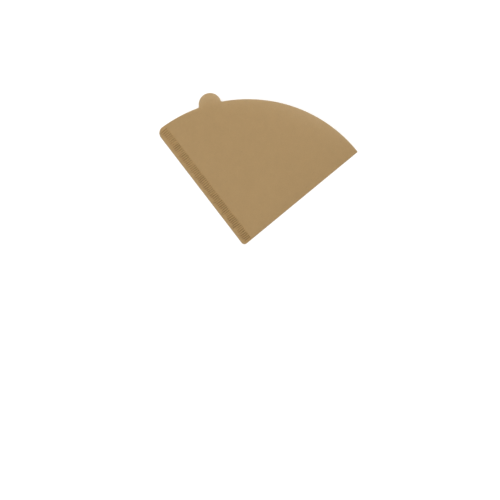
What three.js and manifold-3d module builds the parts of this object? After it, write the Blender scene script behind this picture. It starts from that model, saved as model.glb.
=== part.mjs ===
// Cone paper coffee filter, folded flat and lying on its lower ply. Millimetres, +Z up.
// One sheet is folded in two along its right edge and crimped shut along its left edge.
// The upper ply carries the finger tab and arches off the lower one, so the mouth stands open.
import * as THREE from "three";
import { mergeVertices, toCreasedNormals } from "three/addons/utils/BufferGeometryUtils.js";
import Module from "manifold-3d";

// Sheet
const PAPER = 0.22; // one ply
const SECTOR = THREE.MathUtils.degToRad(88); // between the fold and the seam's cut edge
const MOUTH_RADIUS = 119.8; // the curved cut edge
const MOUTH_OFFSET = 3.3; // from the sharp tip, up the fold, to the centre of the mouth's curve
const TIP_ROUND = 3; // where the fold meets the seam
const SHOULDER_ROUND = 6; // where the seam meets the mouth

// Finger tab, a half disc centred on the mouth's edge
const TAB_RADIUS = 9.4;
const TAB_FROM_SEAM = THREE.MathUtils.degToRad(22.6); // round the centre of the mouth's curve
const TAB_FILLET = 1.3; // at each side of its root

// Seam
const SEAM_MARGIN = 2.75; // loose plies outside the crimp
const LOOSE_GAP = 0.1; // between those plies at their cut edge
const RIB_LENGTH = 6.4; // across the seam
const RIB_PITCH = 1.75;
const RIB_WIDTH = 1.1;
const RIB_HEIGHT = 0.3;
const RIB_TO_POCKET = 0.25;
const RIBS_FROM_TIP = 1.6; // least distance from the sharp tip to the first rib's middle
const RIBS_FROM_MOUTH = 1.3; // least distance from the last rib's middle to the mouth's edge

// Pocket
const MOUTH_GAP = 7; // inside, where the upper ply stands highest at the mouth
const HINGE_PLIES = 1.5; // from the fold's edge to the line where the plies part, in plies

// Facets
const ARCH_FACETS = 36; // across the arched ply
const MOUTH_STEP = THREE.MathUtils.degToRad(2);
const ROUND_STEP = THREE.MathUtils.degToRad(11.25);
const FOLD_FACETS = 7; // round the fold's edge, an odd number
const RIB_FACETS = 10; // round a rib
const REACH = 2; // how far a cutter runs past what it cuts

const KRAFT = new THREE.Color().setRGB(0.675, 0.561, 0.396, THREE.SRGBColorSpace);

const wasm = await Module();
wasm.setup();

// In the layout the sharp tip is the origin, +Y bisects the sector and the seam is on the left.
const UP = new THREE.Vector3(0, 0, 1);
const turnFromY = (turn) => new THREE.Vector3(Math.sin(turn), Math.cos(turn), 0);
const foldWay = turnFromY(SECTOR / 2);
const seamWay = turnFromY(-SECTOR / 2);
const intoFold = new THREE.Vector3().crossVectors(UP, foldWay);
const intoSeam = new THREE.Vector3().crossVectors(seamWay, UP);
const mouthCentre = foldWay.clone().multiplyScalar(MOUTH_OFFSET);
const pocketFromSeam = SEAM_MARGIN + RIB_LENGTH + RIB_TO_POCKET;
const pastMouth = 2 * (MOUTH_RADIUS + MOUTH_OFFSET); // long enough from the tip to clear the mouth

// The point at given distances in from the fold's edge and from the seam's cut edge.
function inside(fromFold, fromSeam) {
  const point = foldWay.clone().multiplyScalar(fromSeam);
  return point.addScaledVector(seamWay, fromFold).divideScalar(Math.sin(SECTOR));
}

// How far a line runs from a start point until it leaves a circle round the mouth's centre.
function runToCircle(start, way, radius) {
  const offset = start.clone().sub(mouthCentre);
  const along = offset.dot(way);
  return Math.sqrt(along * along - offset.lengthSq() + radius * radius) - along;
}

// An arc with both its ends. Angles run counter-clockwise from +X.
function arc(centre, radius, from, to, step) {
  const count = Math.ceil(Math.abs(to - from) / step - 1e-6);
  return Array.from({ length: count + 1 }, (_, i) =>
    onCircle(centre, radius, from + ((to - from) * i) / count),
  );
}

function onCircle(centre, radius, turn) {
  return new THREE.Vector3(Math.cos(turn), Math.sin(turn), 0).multiplyScalar(radius).add(centre);
}

const angleOf = (from, to) => Math.atan2(to.y - from.y, to.x - from.x);

// A closed body from a geometry whose corners are shared once its normals and uvs are gone.
function solid(geometry) {
  geometry.deleteAttribute("normal");
  geometry.deleteAttribute("uv");
  const merged = mergeVertices(geometry, 1e-5);
  const corners = [];
  for (let i = 0; i < merged.index.count; i += 3) {
    const [a, b, c] = [0, 1, 2].map((k) => merged.index.getX(i + k));
    if (a !== b && b !== c && c !== a) corners.push(a, b, c);
  }
  return new wasm.Manifold(new wasm.Mesh({
    numProp: 3,
    vertProperties: new Float32Array(merged.getAttribute("position").array),
    triVerts: new Uint32Array(corners),
  }));
}

// A prism on a plan.
function prism(plan, bottom, top) {
  const geometry = new THREE.ExtrudeGeometry(new THREE.Shape(plan), {
    depth: top - bottom,
    bevelEnabled: false,
  });
  return solid(geometry.translate(0, 0, bottom));
}

// A bar with a constant section. The section's x runs along `across` and its y runs up.
function bar(section, start, across, length) {
  const geometry = new THREE.ExtrudeGeometry(new THREE.Shape(section), {
    depth: length,
    bevelEnabled: false,
  });
  const way = new THREE.Vector3().crossVectors(across, UP);
  geometry.applyMatrix4(new THREE.Matrix4().makeBasis(across, UP, way).setPosition(start));
  return solid(geometry);
}

// A body with a flat bottom and a top of plane facets that meet at one apex. An open rim spans only
// the facets between its points, and its first and last points lie at the bottom with the apex.
function tent(apex, rim, bottom, open = false) {
  const positions = [];
  const face = (...points) => points.forEach((point) => positions.push(point.x, point.y, point.z));
  const drop = (point) => point.clone().setZ(bottom);
  rim.slice(open ? 1 : 0).forEach((point, i) => {
    const last = rim.at(open ? i : i - 1);
    face(apex, last, point);
    face(drop(apex), drop(point), drop(last));
    face(last, drop(last), drop(point));
    face(last, drop(point), point);
  });
  const geometry = new THREE.BufferGeometry();
  geometry.setAttribute("position", new THREE.Float32BufferAttribute(positions, 3));
  return solid(geometry);
}

// Outline of the upper ply, counter-clockwise from the mouth's corner at the fold
const corner = mouthCentre.clone().addScaledVector(foldWay, MOUTH_RADIUS);
const tabTurn = angleOf(new THREE.Vector3(), seamWay) - TAB_FROM_SEAM;
const tabCentre = onCircle(mouthCentre, MOUTH_RADIUS, tabTurn);

// Each fillet of the tab touches the mouth's circle and the tab's circle from outside.
const toFillet = MOUTH_RADIUS + TAB_FILLET;
const tabToFillet = TAB_RADIUS + TAB_FILLET;
const filletSwing = Math.acos(
  (MOUTH_RADIUS ** 2 + toFillet ** 2 - tabToFillet ** 2) / (2 * MOUTH_RADIUS * toFillet),
);
const [rightTurn, leftTurn] = [tabTurn - filletSwing, tabTurn + filletSwing];
const rightFillet = onCircle(mouthCentre, toFillet, rightTurn);
const leftFillet = onCircle(mouthCentre, toFillet, leftTurn);
const rightTouch = angleOf(tabCentre, rightFillet);
const tabSweep = angleOf(tabCentre, leftFillet) - rightTouch;
const leftTouch = rightTouch + THREE.MathUtils.euclideanModulo(tabSweep, 2 * Math.PI);

// The shoulder's round touches the mouth's circle from inside and the seam's cut edge.
const roundStart = inside(0, SHOULDER_ROUND);
const shoulderRun = runToCircle(roundStart, seamWay, MOUTH_RADIUS - SHOULDER_ROUND);
const shoulder = roundStart.clone().addScaledVector(seamWay, shoulderRun);
const shoulderTurn = angleOf(mouthCentre, shoulder);
const outOfSeam = Math.PI + SECTOR / 2;
const outOfFold = 2 * Math.PI - SECTOR / 2;

const outline = [
  ...arc(mouthCentre, MOUTH_RADIUS, angleOf(mouthCentre, corner), rightTurn, MOUTH_STEP),
  ...arc(rightFillet, TAB_FILLET, rightTurn + Math.PI, rightTouch + Math.PI, ROUND_STEP).slice(1),
  ...arc(tabCentre, TAB_RADIUS, rightTouch, leftTouch, ROUND_STEP).slice(1),
  ...arc(leftFillet, TAB_FILLET, leftTouch - Math.PI, leftTurn - Math.PI, ROUND_STEP).slice(1),
  ...arc(mouthCentre, MOUTH_RADIUS, leftTurn, shoulderTurn, MOUTH_STEP).slice(1),
  ...arc(shoulder, SHOULDER_ROUND, shoulderTurn, outOfSeam, ROUND_STEP).slice(1),
  ...arc(inside(TIP_ROUND, TIP_ROUND), TIP_ROUND, outOfSeam, outOfFold, ROUND_STEP),
];

// The arched ply is a cone of straight rulings from the pocket's apex. From 0 at the crimp, which it
// leaves level, to 1 at the fold, where it is hinged, it stands highest at two thirds.
const apex = inside(PAPER * HINGE_PLIES, pocketFromSeam);
const archShape = (share) => share ** 2 * (1 - share);
const rulings = Array.from({ length: ARCH_FACETS + 1 }, (_, i) => {
  const share = 1 - i / ARCH_FACETS;
  const way = turnFromY((share - 0.5) * SECTOR);
  const run = runToCircle(apex, way, MOUTH_RADIUS);
  const rise = (MOUTH_GAP * archShape(share)) / archShape(2 / 3);
  return { way, run, rise };
});
const stretch = (MOUTH_RADIUS + TAB_RADIUS + REACH) / (MOUTH_RADIUS - pocketFromSeam);

// The rim of an arch that takes a part of the pocket's gap over a level
const archRim = (level, part) => rulings.map(({ way, run, rise }) =>
  apex.clone().addScaledVector(way, run * stretch).setZ(level + rise * stretch * part),
);

// Everything under such an arch and the flat surface round it
function under(level, part, bottom) {
  const margin = REACH * 4;
  const flat = [
    seamWay.clone().multiplyScalar(pastMouth).addScaledVector(intoSeam, -margin),
    new THREE.Vector3(0, -margin, 0),
    foldWay.clone().multiplyScalar(pastMouth).addScaledVector(intoFold, -margin),
  ];
  const rim = [...archRim(level, part), ...flat.map((point) => point.setZ(level))];
  return tent(apex.clone().setZ(level), rim, bottom);
}

const pocket = tent(apex.clone().setZ(PAPER), archRim(PAPER, 1), PAPER, true);

// Where the tab stands alone, outside the mouth's edge of the lower ply
const underTab = prism([
  ...arc(mouthCentre, MOUTH_RADIUS, leftTurn, rightTurn, MOUTH_STEP),
  onCircle(mouthCentre, MOUTH_RADIUS + TAB_RADIUS * 2, rightTurn),
  onCircle(mouthCentre, MOUTH_RADIUS + TAB_RADIUS * 2, leftTurn),
], -REACH, MOUTH_GAP + REACH).intersect(under(PAPER, 0.5, -REACH * 2));

// What lies outside the half-round edge of the fold, whose radius is one ply
function foldRound() {
  const middle = new THREE.Vector3(PAPER, PAPER, 0);
  const round = arc(middle, PAPER, Math.PI * 1.5, Math.PI / 2, Math.PI / FOLD_FACETS);
  const overrun = (end, next) => end.clone().multiplyScalar(2).sub(next);
  const section = [
    new THREE.Vector3(-REACH, -REACH, 0),
    new THREE.Vector3(PAPER, -REACH, 0),
    overrun(round.at(0), round.at(1)),
    ...round.slice(1, -1),
    overrun(round.at(-1), round.at(-2)),
    new THREE.Vector3(PAPER, PAPER * 2 + REACH, 0),
    new THREE.Vector3(-REACH, PAPER * 2 + REACH, 0),
  ];
  return bar(section, foldWay.clone().multiplyScalar(-REACH * 2), intoFold, pastMouth);
}

// The loose margins part in a wedge that ends one ply short of the fold.
function looseMargins() {
  const half = (LOOSE_GAP / 2) * (1 + REACH / SEAM_MARGIN);
  const section = [
    new THREE.Vector3(-REACH, PAPER - half, 0),
    new THREE.Vector3(SEAM_MARGIN, PAPER, 0),
    new THREE.Vector3(-REACH, PAPER + half, 0),
  ];
  const start = inside(PAPER, 0).addScaledVector(seamWay, pastMouth);
  return bar(section, start, intoSeam, pastMouth);
}

// The ribs are pressed up through both plies, so each has a hollow under it.
const mouthRun = runToCircle(inside(0, SEAM_MARGIN + RIB_LENGTH), seamWay, MOUTH_RADIUS);
const shoulderDrop = Math.max(0, SHOULDER_ROUND - SEAM_MARGIN);
const shoulderReach = shoulderRun + Math.sqrt(SHOULDER_ROUND ** 2 - shoulderDrop ** 2);
const lastRib = Math.min(mouthRun, shoulderReach) - RIBS_FROM_MOUTH;
const ribCount = Math.floor((lastRib - RIBS_FROM_TIP) / RIB_PITCH) + 1;

function ribs(level) {
  const sink = RIB_HEIGHT / 6;
  const bodies = Array.from({ length: ribCount }, (_, i) => {
    const rib = new THREE.CapsuleGeometry(RIB_WIDTH / 2, RIB_LENGTH - RIB_WIDTH, 2, RIB_FACETS);
    rib.scale(1, 1, (RIB_HEIGHT + sink) / (RIB_WIDTH / 2)).rotateZ((SECTOR - Math.PI) / 2);
    const middle = inside(0, SEAM_MARGIN + RIB_LENGTH / 2);
    middle.addScaledVector(seamWay, lastRib - i * RIB_PITCH);
    return solid(rib.translate(middle.x, middle.y, level - sink));
  });
  return bodies.reduce((row, body) => row.add(body));
}

const body = prism(outline, 0, MOUTH_GAP * 2 + REACH)
  .intersect(under(PAPER * 2, 1, -REACH))
  .subtract(pocket)
  .subtract(underTab)
  .subtract(foldRound())
  .subtract(looseMargins())
  .add(ribs(PAPER * 2))
  .subtract(ribs(0));

const { vertProperties, triVerts } = body.getMesh();
const sheet = new THREE.BufferGeometry();
sheet.setAttribute("position", new THREE.BufferAttribute(vertProperties, 3));
sheet.setIndex(new THREE.BufferAttribute(triVerts, 1));
sheet.computeBoundingBox();
const centre = sheet.boundingBox.getCenter(new THREE.Vector3());
sheet.translate(-centre.x, -centre.y, -sheet.boundingBox.min.z);

const paper = new THREE.MeshStandardMaterial({ color: KRAFT, roughness: 0.9, metalness: 0 });
const filter = new THREE.Mesh(toCreasedNormals(sheet, THREE.MathUtils.degToRad(24)), paper);
filter.name = "filter_paper";

const part = new THREE.Group();
part.name = "cone_coffee_filter";
part.add(filter);

export default part;
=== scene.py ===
import math

import bmesh
import bpy
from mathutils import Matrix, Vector, noise


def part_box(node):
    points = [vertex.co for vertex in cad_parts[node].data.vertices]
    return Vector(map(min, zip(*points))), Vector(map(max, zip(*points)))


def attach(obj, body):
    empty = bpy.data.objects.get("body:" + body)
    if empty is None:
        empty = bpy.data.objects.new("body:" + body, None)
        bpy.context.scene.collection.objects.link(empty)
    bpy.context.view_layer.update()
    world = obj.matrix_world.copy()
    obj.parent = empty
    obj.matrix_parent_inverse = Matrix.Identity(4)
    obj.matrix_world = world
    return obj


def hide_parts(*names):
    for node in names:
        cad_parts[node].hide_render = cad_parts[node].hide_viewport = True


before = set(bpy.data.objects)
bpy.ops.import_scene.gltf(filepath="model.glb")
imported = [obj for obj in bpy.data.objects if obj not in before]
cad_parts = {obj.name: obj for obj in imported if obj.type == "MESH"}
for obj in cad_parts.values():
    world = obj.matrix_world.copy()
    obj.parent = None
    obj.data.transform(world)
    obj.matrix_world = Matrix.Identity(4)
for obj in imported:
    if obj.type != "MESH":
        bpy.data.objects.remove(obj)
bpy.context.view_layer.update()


# The filter is one sheet of unbleached paper, die cut to a sector with a curved mouth and rounded
# corners. Folded in two it gives two plies of one outline, and only the upper ply keeps the tab.
SECTOR = math.radians(88)  # between the fold and the seam's cut edge
MOUTH_RADIUS = 0.1198
MOUTH_OFFSET = 0.0033  # from the sharp tip, up the fold, to the centre of the mouth's curve
TIP_ROUND = 0.003
SHOULDER_ROUND = 0.006
TAB_RADIUS = 0.0094
TAB_FROM_SEAM = math.radians(22.6)
TAB_FILLET = 0.0013  # where the tab meets the mouth
EDGE_STEP = 0.0008  # between points of the cut edge
SMALL_STEP = 0.0003  # the same on its small rounds
LEAST_STEPS = 3  # on the shortest round


def heading(turn):
    """The level direction that is turned clockwise from +Y."""
    return Vector((math.sin(turn), math.cos(turn), 0))


def angle_of(way):
    """The same direction's angle, counter-clockwise from +X."""
    return math.atan2(way.y, way.x)


fold_way = heading(SECTOR / 2)
seam_way = heading(-SECTOR / 2)
into_fold = Vector((-fold_way.y, fold_way.x, 0))
into_seam = Vector((seam_way.y, -seam_way.x, 0))
node_low, node_high = (Vector(corner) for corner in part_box("filter_paper"))
tip = Vector((
    node_high.x - fold_way.x * (MOUTH_RADIUS + MOUTH_OFFSET),
    node_low.y - TIP_ROUND * (1 / math.sin(SECTOR / 2) - 1),
    0,
))
mouth_centre = tip + fold_way * MOUTH_OFFSET


def inside(from_fold, from_seam):
    """The point at these distances in from the fold's edge and from the seam's cut edge."""
    return tip + (fold_way * from_seam + seam_way * from_fold) / math.sin(SECTOR)


def run_to_mouth(start, way, radius=MOUTH_RADIUS):
    """How far a line runs from a start point to the mouth's curve."""
    offset = start - mouth_centre
    along = offset.dot(way)
    return math.sqrt(along * along - offset.length_squared + radius * radius) - along


def round_the_mouth(radius, angle):
    """The point at this radius and angle from the mouth's centre."""
    return mouth_centre + Vector((math.cos(angle), math.sin(angle), 0)) * radius


shoulder_foot = inside(0, SHOULDER_ROUND)
shoulder_run = run_to_mouth(shoulder_foot, seam_way, MOUTH_RADIUS - SHOULDER_ROUND)
shoulder = shoulder_foot + seam_way * shoulder_run
fold_angle = angle_of(fold_way)
shoulder_angle = angle_of(shoulder - mouth_centre)
tab_angle = angle_of(seam_way) - TAB_FROM_SEAM
tab_centre = round_the_mouth(MOUTH_RADIUS, tab_angle)
root_swing = math.acos(
    (MOUTH_RADIUS**2 + (MOUTH_RADIUS + TAB_FILLET) ** 2 - (TAB_RADIUS + TAB_FILLET) ** 2)
    / (2 * MOUTH_RADIUS * (MOUTH_RADIUS + TAB_FILLET))
)
right_root = round_the_mouth(MOUTH_RADIUS + TAB_FILLET, tab_angle - root_swing)
left_root = round_the_mouth(MOUTH_RADIUS + TAB_FILLET, tab_angle + root_swing)
fillet_turn = (right_root - mouth_centre).angle(right_root - tab_centre)
tab_turn = (right_root - tab_centre).angle(left_root - tab_centre)


def sweep(bm, vert, centre, angle, step=EDGE_STEP):
    """Carries the cut edge round a centre and gives its new end."""
    length = abs(angle) * (vert.co - centre).length
    steps = max(LEAST_STEPS, math.ceil(length / step))
    swept = bmesh.ops.spin(
        bm, geom=[vert], cent=centre, axis=(0, 0, 1), angle=angle, steps=steps
    )
    return next(item for item in swept["geom_last"] if isinstance(item, bmesh.types.BMVert))


def die_cut(bm, with_tab):
    """One flat ply as a single face with the sheet's cut outline."""
    start = end = bm.verts.new(mouth_centre + fold_way * MOUTH_RADIUS)
    if with_tab:
        end = sweep(bm, end, mouth_centre, tab_angle - root_swing - fold_angle)
        end = sweep(bm, end, right_root, -fillet_turn, SMALL_STEP)
        end = sweep(bm, end, tab_centre, tab_turn, EDGE_STEP / 2)
        end = sweep(bm, end, left_root, -fillet_turn, SMALL_STEP)
        end = sweep(bm, end, mouth_centre, shoulder_angle - tab_angle - root_swing)
    else:
        end = sweep(bm, end, mouth_centre, shoulder_angle - fold_angle)
    seam_top = sweep(bm, end, shoulder, math.pi + SECTOR / 2 - shoulder_angle, SMALL_STEP)
    tip_middle = inside(TIP_ROUND, TIP_ROUND)
    seam_foot = bm.verts.new(tip_middle - into_seam * TIP_ROUND)
    fold_foot = sweep(bm, seam_foot, tip_middle, math.pi - SECTOR, SMALL_STEP)
    bmesh.ops.contextual_create(bm, geom=[seam_top, seam_foot])
    bmesh.ops.contextual_create(bm, geom=[fold_foot, start])
    bmesh.ops.contextual_create(bm, geom=bm.edges[:])
    return bm.faces[:]


# Wheels with teeth crimp the two plies together in a ribbed band beside the seam's cut edge. The
# ribs stand across the seam, rise softly at the loose margin and stop short at the pocket. The
# wheels bite unevenly, hardest towards the tip, so no two ribs are quite alike.
SEAM_MARGIN = 0.00275
RIB_LENGTH = 0.0064
RIB_TO_POCKET = 0.00025
RIB_PITCH = 0.00175
RIB_HEIGHT = 0.0003
RIBS_FROM_TIP = 0.0016
RIBS_FROM_MOUTH = 0.0013
RIB_CUTS = 10  # grid lines for each rib
RIB_RISE = 0.0012  # over which a rib comes up, half of it in the margin
RIB_STOP = 0.0004  # over which it ends at the pocket
BAND_END = RIB_PITCH / 4  # over which the band comes up at its two ends
GROOVE_SIDE = -0.55  # where a rib's side starts and ends, on the cosine of its pitch
RIDGE_SIDE = 0.75
UNEVEN = 0.6  # how much the bite differs from rib to rib and along a rib
RAGGED = 0.0022  # how much the ribs differ in length at the margin
POCKET_RAGGED = 0.0008  # the same at the pocket
PATCH = 0.0028  # how wide a patch of harder or softer bite is
WAVER = 0.0003  # how far a rib strays to its sides
WAVER_LENGTH = 0.005
TIP_BITE = 0.35  # how much harder the wheels bite at the tip than at the mouth
BITE_STEP = 0.37  # through the noise, from one rib to the next
BITE_SEED = 5  # the seeds set the kinds of unevenness apart
PATCH_SEED = 2
RAGGED_STEP = 0.61  # as BITE_STEP, for the ribs' lengths
RAGGED_SEED = 9
WAVER_SEED = 7
ON_THE_CUT = 1e-7  # points this close to a cut are on it

ribs_end = SEAM_MARGIN + RIB_LENGTH
pocket_from_seam = ribs_end + RIB_TO_POCKET
mouth_run = run_to_mouth(inside(0, ribs_end), seam_way)
shoulder_drop = SHOULDER_ROUND - SEAM_MARGIN
shoulder_reach = shoulder_run + math.sqrt(SHOULDER_ROUND**2 - shoulder_drop**2)
last_rib = min(mouth_run, shoulder_reach) - RIBS_FROM_MOUTH
first_rib = last_rib - math.floor((last_rib - RIBS_FROM_TIP) / RIB_PITCH) * RIB_PITCH
band_foot = first_rib - RIB_PITCH / 2
band_top = last_rib + RIB_PITCH / 2


def slice_faces(bm, faces, start, way, distances):
    """Cuts the faces square to a direction at each distance from a start point."""
    rest = faces
    for distance in distances:
        point = start + way * distance
        edges = {edge for face in rest for edge in face.edges}
        verts = {vert for face in rest for vert in face.verts}
        cut = bmesh.ops.bisect_plane(
            bm, geom=[*rest, *edges, *verts], dist=ON_THE_CUT, plane_co=point, plane_no=way
        )
        rest = [
            item for item in cut["geom"]
            if isinstance(item, bmesh.types.BMFace)
            and (item.calc_center_median() - point).dot(way) > 0
        ]


def steps_between(low, high, step):
    """Even places from low to high, about a step apart."""
    count = max(1, round((high - low) / step))
    return [low + (high - low) * i / count for i in range(count + 1)]


def ease(low, high, value):
    """0 below low, 1 above high, and a soft step between."""
    share = min(1, max(0, (value - low) / (high - low)))
    return share * share * (3 - 2 * share)


def ridge(point):
    """0 in a groove and 1 on top of a rib."""
    along = (point - tip).dot(seam_way)
    flat_point = Vector((point.x, point.y, 0))
    waver = WAVER * noise.noise(flat_point / WAVER_LENGTH + Vector((0, 0, WAVER_SEED)))
    turn = 2 * math.pi * (along + waver - first_rib) / RIB_PITCH
    return ease(GROOVE_SIDE, RIDGE_SIDE, math.cos(turn))


def bite(point):
    """How hard the wheels press at this point: 0 off the band and about 1 on it."""
    along = (point - tip).dot(seam_way)
    across = (point - tip).dot(into_seam)
    if not band_foot < along < band_top:
        return 0
    rib = round((along - first_rib) / RIB_PITCH)
    from_ends = min(along - band_foot, band_top - along)
    whim = noise.noise(Vector((rib * BITE_STEP, 0, BITE_SEED)))
    patch = noise.noise(Vector((along / PATCH, across / PATCH, PATCH_SEED)))
    ragged = noise.noise(Vector((rib * RAGGED_STEP, RAGGED_SEED, 0)))
    from_margin = across - SEAM_MARGIN + RAGGED * ragged
    rise = ease(-RIB_RISE / 2, RIB_RISE / 2, from_margin)
    stop_at = ribs_end - POCKET_RAGGED * max(0, ragged)
    stop = 1 - ease(stop_at - RIB_STOP, stop_at, across)
    ends = ease(0, BAND_END, from_ends)
    hard = 1 + TIP_BITE * (0.5 - along / last_rib)
    return (1 + UNEVEN * (whim + patch)) * hard * rise * stop * ends


def rib_lift(point):
    """How far a rib lifts both plies at this point."""
    return RIB_HEIGHT * bite(point) * ridge(point)


# The sheet is folded in two along its right edge. Both plies have a grid, finest in the crimp and
# round the fold, so that they bend like paper, and the sheet lies on its lower ply with the upper
# one sprung open.
PLY = 0.00022  # one ply's share of the folded height
THICKNESS = 0.00019
MOUTH_GAP = 0.007
GRID_FROM_EDGE = SEAM_MARGIN / 3  # to the first grid line beside the seam's cut edge
RISE_CUTS = 4  # grid lines over a rib's rise
FOLD_CUTS = 6  # grid lines round each half of the fold
HINGE_PLIES = 1.5  # from the fold's edge to the upper ply's hinge, in plies
FLAT_PLIES = (4, 8)  # the next grid lines beside the fold, in plies
NEAR_FOLD = RIB_PITCH * 3  # faces this close to the fold take its grid lines
ARCH_SCALE = 27 / 4  # makes the arch's highest point 1
ARCH_SWAY = 0.05  # how far the arch strays from its plain curve
SWAYS = 4  # how often it strays across the pocket
LOWER_LIFT = 0.0003  # how far the lower ply's mouth comes up in places
LIFT_LENGTH = 0.03
LIFT_FROM = 0.7  # share of the mouth's radius where it starts to come up
TAB_DROOP = 0.0008  # how far the tab's end bends down
WAVE_HEIGHT = 0.0001
WAVE_LENGTH = 0.016
WAVE_SEED = 3
FREE_UPPER = 0.0005  # the gap from which the upper ply waves freely
FREE_LOWER = 0.002
SLIVER = 2e-6  # edges shorter than this come from a cut beside a corner, and go
SAME_PLACE = 1e-6  # points closer than this are one
FOLD_MERGE = 1e-5  # joins the two plies' points along the fold
CREASE = math.radians(50)  # sharper turns than this shade as edges

apex = inside(PLY * HINGE_PLIES, pocket_from_seam)


def from_tip(face, way):
    """How far a face's middle lies from the tip in a direction."""
    return (face.calc_center_median() - tip).dot(way)


def make_ply(with_tab):
    """One ply's mesh, flat, with its grid."""
    bm = bmesh.new()
    whole = die_cut(bm, with_tab)
    rise_end = SEAM_MARGIN + RIB_RISE
    crimp_lines = steps_between(GRID_FROM_EDGE, rise_end, RIB_RISE / RISE_CUTS)
    crimp_lines += steps_between(rise_end, ribs_end - RIB_STOP, RIB_PITCH / 2)[1:]
    crimp_lines += [ribs_end - RIB_STOP / 2, ribs_end, pocket_from_seam]
    reach = MOUTH_RADIUS + MOUTH_OFFSET + TAB_RADIUS
    pocket_lines = steps_between(pocket_from_seam, reach, RIB_PITCH)[1:]
    slice_faces(bm, whole, tip, into_seam, [*crimp_lines, *pocket_lines])

    band = [face for face in bm.faces if from_tip(face, into_seam) < ribs_end]
    pocket = [face for face in bm.faces if from_tip(face, into_seam) >= ribs_end]
    rib_lines = steps_between(band_foot, band_top, RIB_PITCH / RIB_CUTS)
    slice_faces(bm, band, tip, seam_way, rib_lines)
    row_count = math.ceil((reach - band_foot) / RIB_PITCH)
    rows = [band_foot + i * RIB_PITCH for i in range(row_count)]
    slice_faces(bm, pocket, tip, seam_way, rows)

    near_fold = [face for face in bm.faces if from_tip(face, into_fold) < NEAR_FOLD]
    turns = [math.pi / 2 * i / FOLD_CUTS for i in range(1, FOLD_CUTS + 1)]
    round_lines = [PLY * (1 - math.cos(turn)) for turn in turns]
    hinge_lines = [PLY * plies for plies in (HINGE_PLIES, *FLAT_PLIES)]
    slice_faces(bm, near_fold, tip, into_fold, [*round_lines, *hinge_lines])
    bmesh.ops.dissolve_degenerate(bm, dist=SLIVER, edges=bm.edges[:])
    return bm


def arch_gap(point):
    """The pocket's height at this point: a cone of straight rulings from its apex."""
    reach = point - apex
    share = math.atan2(reach.x, reach.y) / SECTOR + 0.5
    if reach.length < SAME_PLACE or not 0 < share < 1:
        return 0
    run = run_to_mouth(apex, reach.normalized())
    sway = 1 + ARCH_SWAY * noise.noise(Vector((share * SWAYS, reach.length / run, 0)))
    return MOUTH_GAP * ARCH_SCALE * share**2 * (1 - share) * sway * reach.length / run


def wave(point):
    """How far the free paper strays up or down."""
    return WAVE_HEIGHT * noise.noise(point / WAVE_LENGTH + Vector((0, 0, WAVE_SEED)))


def fold_half(point):
    """How far the ply's outer face stands from the fold's middle plane."""
    from_fold = (point - tip).dot(into_fold)
    if from_fold >= PLY:
        return PLY
    return math.sqrt(max(0, PLY**2 - (PLY - from_fold) ** 2))


def bend_upper(point):
    """The height of the upper ply's outer face, which is its top."""
    gap = arch_gap(point)
    past_mouth = max(0, (point - mouth_centre).length - MOUTH_RADIUS)
    droop = TAB_DROOP * (past_mouth / TAB_RADIUS) ** 2
    free = min(1, gap / FREE_UPPER)
    return PLY + fold_half(point) + rib_lift(point) + gap - droop + free * wave(point)


def bend_lower(point):
    """The height of the lower ply's outer face, which is its underside."""
    free = min(1, arch_gap(point) / FREE_LOWER)
    from_centre = (point - mouth_centre).length
    near_mouth = ease(MOUTH_RADIUS * LIFT_FROM, MOUTH_RADIUS, from_centre)
    share = 0.5 + 0.5 * noise.noise(point / LIFT_LENGTH)
    return PLY - fold_half(point) + rib_lift(point) + LOWER_LIFT * share * near_mouth * free


def face_outwards(bm, up):
    """Turns every face of a flat ply to its outer side."""
    bm.normal_update()
    wrong = [face for face in bm.faces if (face.normal.z > 0) != up]
    bmesh.ops.reverse_faces(bm, faces=wrong)


sheet = make_ply(with_tab=False)
face_outwards(sheet, up=False)
for vert in sheet.verts:
    vert.co.z = bend_lower(vert.co.copy())
lower_mesh = bpy.data.meshes.new("lower_ply")
sheet.to_mesh(lower_mesh)
sheet.free()

sheet = make_ply(with_tab=True)
face_outwards(sheet, up=True)
for vert in sheet.verts:
    vert.co.z = bend_upper(vert.co.copy())
sheet.from_mesh(lower_mesh)
bpy.data.meshes.remove(lower_mesh)
fold_line = [vert for vert in sheet.verts if abs((vert.co - tip).dot(into_fold)) < SAME_PLACE]
bmesh.ops.remove_doubles(sheet, verts=fold_line, dist=FOLD_MERGE)
bmesh.ops.solidify(sheet, geom=sheet.faces[:], thickness=THICKNESS)
sheet.normal_update()

filter_mesh = bpy.data.meshes.new("filter_sheet")
sheet.to_mesh(filter_mesh)
sheet.free()
filter_mesh.shade_smooth()
filter_mesh.set_sharp_from_angle(angle=CREASE)
filter_sheet = bpy.data.objects.new("filter_sheet", filter_mesh)
bpy.context.scene.collection.objects.link(filter_sheet)
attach(filter_sheet, "root")
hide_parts("filter_paper")


# Unbleached filter paper is a matt tan sheet of long soft wood fibres, a little cloudy, with a few
# darker specks. Its face is finely creped and lets some light through. The crimp's pressure warms
# it a little, and its grooves are darkened partly as crushed paper and partly by painted shade.
PAPER_LIGHT = (0.482, 0.315, 0.144, 1)
PAPER_DARK = (0.457, 0.298, 0.136, 1)
PALE_FIBRE = (0.64, 0.48, 0.28, 1)
DARK_FIBRE = (0.27, 0.165, 0.07, 1)
SPECK = (0.20, 0.115, 0.048, 1)
PRESSED = (1.06, 1.03, 0.97, 1)  # multiplies the paper's colour in the crimp
GROOVE_SHADE = (0.58, 0.53, 0.43, 1)  # and once more in its grooves: painted shade over the crushed paper's darker tone
CREPE_DEPTH = 0.00008
SHOW_THROUGH = 0.3  # share of the light that passes through a face of the paper
GLOW = (0.93, 0.93, 0.86, 1)  # the colour of that light
MIX_SHARE = 0  # sockets of the Mix node when it mixes colours
MIX_FIRST = 6
MIX_SECOND = 7
MIX_RESULT = 2

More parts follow.
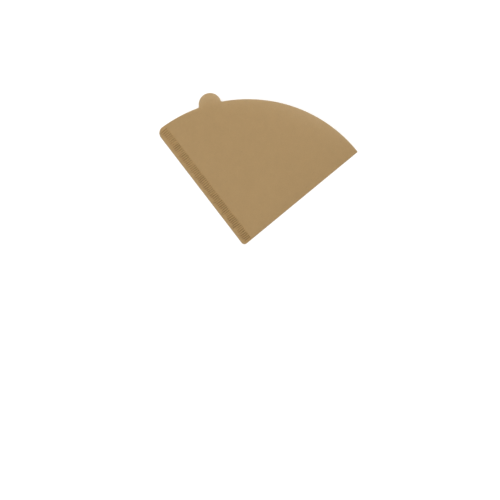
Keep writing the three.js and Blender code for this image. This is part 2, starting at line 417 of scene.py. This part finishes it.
pressed = filter_mesh.attributes.new("pressed", "FLOAT", "POINT")
# How much painted shade each point of the grooves gets, from the wheels' bite and the ridge
painted_groove_shade = filter_mesh.attributes.new("painted_groove_shade", "FLOAT", "POINT")
for vert in filter_mesh.vertices:
    across = (vert.co - tip).dot(into_seam)
    band = ease(SEAM_MARGIN - RIB_RISE, SEAM_MARGIN + RIB_RISE / 2, across)
    band *= 1 - ease(ribs_end - RIB_STOP, pocket_from_seam, across)
    pressed.data[vert.index].value = band
    painted_groove_shade.data[vert.index].value = min(1, bite(vert.co) * (1 - ridge(vert.co)))

paper = bpy.data.materials.new("unbleached_paper")
paper.use_nodes = True
nodes = paper.node_tree.nodes
links = paper.node_tree.links
nodes.clear()
place = nodes.new("ShaderNodeTexCoord")


def join(source, output, target, socket):
    """Leads what a node puts out to another node's socket."""
    links.new(source.outputs[output], target.inputs[socket])


def noise_on_sheet(scale, detail, roughness=0.5):
    """A noise pattern fixed to the sheet, with its scale in cycles per metre."""
    made = nodes.new("ShaderNodeTexNoise")
    made.inputs["Scale"].default_value = scale
    made.inputs["Detail"].default_value = detail
    made.inputs["Roughness"].default_value = roughness
    join(place, "Object", made, "Vector")
    return made


def step_ramp(source, output, low, high, most=1):
    """A ramp from 0 at low to most at high."""
    made = nodes.new("ShaderNodeMapRange")
    made.inputs["From Min"].default_value = low
    made.inputs["From Max"].default_value = high
    made.inputs["To Max"].default_value = most
    join(source, output, made, "Value")
    return made


def calculate(operation, source, output, value=None):
    """One step of arithmetic on what a node puts out."""
    made = nodes.new("ShaderNodeMath")
    made.operation = operation
    join(source, output, made, 0)
    if value is not None:
        made.inputs[1].default_value = value
    return made


def blend_colours(share, output, mode, first, second):
    """Lays a second colour over a first one, where the share says."""
    made = nodes.new("ShaderNodeMix")
    made.data_type = "RGBA"
    made.blend_type = mode
    join(share, output, made, MIX_SHARE)
    for socket, colour in ((MIX_FIRST, first), (MIX_SECOND, second)):
        if isinstance(colour, tuple):
            made.inputs[socket].default_value = colour
        else:
            links.new(colour, made.inputs[socket])
    return made.outputs[MIX_RESULT]


clouds = noise_on_sheet(scale=170, detail=3)
cloud_share = step_ramp(clouds, "Fac", low=0.3, high=0.7)
base = blend_colours(cloud_share, "Result", "MIX", PAPER_DARK, PAPER_LIGHT)


def fibres(scale, seed, width, share):
    """Thin winding fibres, where a warped noise crosses its middle value."""
    field = noise_on_sheet(scale, detail=2, roughness=0.55)
    field.noise_dimensions = "4D"
    field.inputs["W"].default_value = seed
    field.inputs["Distortion"].default_value = 1.2
    from_middle = calculate("SUBTRACT", field, "Fac", 0.5)
    size = calculate("ABSOLUTE", from_middle, "Value")
    return step_ramp(size, "Value", low=width, high=0, most=share)


fine_fibres = fibres(scale=620, seed=0, width=0.022, share=0.26)
long_fibres = fibres(scale=300, seed=11, width=0.010, share=0.36)
dark_fibres = fibres(scale=430, seed=23, width=0.008, share=0.5)
base = blend_colours(fine_fibres, "Result", "MIX", base, PALE_FIBRE)
base = blend_colours(long_fibres, "Result", "MIX", base, PALE_FIBRE)
base = blend_colours(dark_fibres, "Result", "MIX", base, DARK_FIBRE)

specks = noise_on_sheet(scale=900, detail=1)
speck_share = step_ramp(specks, "Fac", low=0.74, high=0.79, most=0.5)
base = blend_colours(speck_share, "Result", "MIX", base, SPECK)

band_share = nodes.new("ShaderNodeAttribute")
band_share.attribute_name = "pressed"
groove_shade_share = nodes.new("ShaderNodeAttribute")
groove_shade_share.attribute_name = "painted_groove_shade"
base = blend_colours(band_share, "Fac", "MULTIPLY", base, PRESSED)
# The grooves take painted shade here, on top of the crushed paper's darker tone
base = blend_colours(groove_shade_share, "Fac", "MULTIPLY", base, GROOVE_SHADE)

crepe = noise_on_sheet(scale=1500, detail=3, roughness=0.6)
grain = calculate("ADD", crepe, "Fac")
join(fine_fibres, "Result", grain, 1)
bump = nodes.new("ShaderNodeBump")
bump.inputs["Strength"].default_value = 0.8
bump.inputs["Distance"].default_value = CREPE_DEPTH
join(grain, "Value", bump, "Height")

body = nodes.new("ShaderNodeBsdfPrincipled")
body.inputs["Roughness"].default_value = 0.92
body.inputs["Specular IOR Level"].default_value = 0.25
body.inputs["Sheen Weight"].default_value = 0.08
body.inputs["Sheen Roughness"].default_value = 0.5
links.new(base, body.inputs["Base Color"])
join(bump, "Normal", body, "Normal")
glow = nodes.new("ShaderNodeBsdfTranslucent")
glow.inputs["Color"].default_value = GLOW
join(bump, "Normal", glow, "Normal")
through = nodes.new("ShaderNodeMixShader")
through.inputs["Fac"].default_value = SHOW_THROUGH
join(body, "BSDF", through, 1)
join(glow, "BSDF", through, 2)
surface = nodes.new("ShaderNodeOutputMaterial")
join(through, "Shader", surface, "Surface")
filter_mesh.materials.append(paper)


# The filter lies on a plain white table, faintly lit from within, under an even white room. One
# large soft lamp past the mouth, on the seam's side, picks out the ribs, and the camera looks
# straight down.
FLOOR_SIZE = 6
FLOOR_DROP = 0.0001  # below the paper, so that their faces don't share a plane
FLOOR_WHITE = (0.9, 0.9, 0.9, 1)
FLOOR_LIGHT = 0.2  # keeps the table white close beside the paper
ROOM = 0.81
LAMP_POWER = 12  # watts
LAMP_SIZE = 1.2
LAMP_DISTANCE = 1.6
LAMP_HEIGHT = math.radians(50)
LAMP_TURN = math.radians(-8)  # clockwise from +Y, as for the fold and the seam

floor_bm = bmesh.new()
bmesh.ops.create_grid(floor_bm, x_segments=1, y_segments=1, size=FLOOR_SIZE / 2)
bmesh.ops.translate(floor_bm, verts=floor_bm.verts, vec=(0, 0, -FLOOR_DROP))
floor_mesh = bpy.data.meshes.new("table")
floor_bm.to_mesh(floor_mesh)
floor_bm.free()
table = bpy.data.objects.new("table", floor_mesh)
bpy.context.scene.collection.objects.link(table)
white = bpy.data.materials.new("table_white")
white.use_nodes = True
table_face = white.node_tree.nodes["Principled BSDF"]
table_face.inputs["Base Color"].default_value = FLOOR_WHITE
table_face.inputs["Roughness"].default_value = 0.8
table_face.inputs["Emission Color"].default_value = (1, 1, 1, 1)
table_face.inputs["Emission Strength"].default_value = FLOOR_LIGHT
floor_mesh.materials.append(white)

room = bpy.data.worlds.new("room")
room.use_nodes = True
walls = room.node_tree.nodes["Background"]
walls.inputs["Color"].default_value = (1, 1, 1, 1)
walls.inputs["Strength"].default_value = ROOM
bpy.context.scene.world = room

lamp_data = bpy.data.lights.new("soft_lamp", "AREA")
lamp_data.energy = LAMP_POWER
lamp_data.size = LAMP_SIZE
lamp = bpy.data.objects.new("soft_lamp", lamp_data)
lamp_way = heading(LAMP_TURN) * math.cos(LAMP_HEIGHT) + Vector((0, 0, math.sin(LAMP_HEIGHT)))
lamp.location = lamp_way * LAMP_DISTANCE
lamp.rotation_euler = lamp_way.to_track_quat("Z", "Y").to_euler()
bpy.context.scene.collection.objects.link(lamp)

PHOTO_WIDTH = 500  # pixels
PHOTO_TIP = (243.86, 245.69)  # where the sharp tip of the sector falls
PHOTO_MOUTH_RADIUS = 143.55
PHOTO_TURN = math.radians(6.52)  # how far the filter leans to the right
CAMERA_HEIGHT = 1.5
SENSOR_WIDTH = 36  # millimetres

pixel = MOUTH_RADIUS / PHOTO_MOUTH_RADIUS
right = Vector((math.cos(PHOTO_TURN), math.sin(PHOTO_TURN), 0))
up = Vector((-math.sin(PHOTO_TURN), math.cos(PHOTO_TURN), 0))
middle = tip + right * (PHOTO_WIDTH / 2 - PHOTO_TIP[0]) * pixel
middle += up * (PHOTO_TIP[1] - PHOTO_WIDTH / 2) * pixel
camera_data = bpy.data.cameras.new("camera")
camera_data.sensor_width = SENSOR_WIDTH
camera_data.lens = SENSOR_WIDTH * CAMERA_HEIGHT / (PHOTO_WIDTH * pixel)
camera = bpy.data.objects.new("camera", camera_data)
camera.location = middle + Vector((0, 0, CAMERA_HEIGHT))
camera.rotation_euler = (0, 0, PHOTO_TURN)
bpy.context.scene.collection.objects.link(camera)
bpy.context.scene.camera = camera
bpy.context.scene.view_settings.view_transform = "Standard"

bpy.context.view_layer.update()
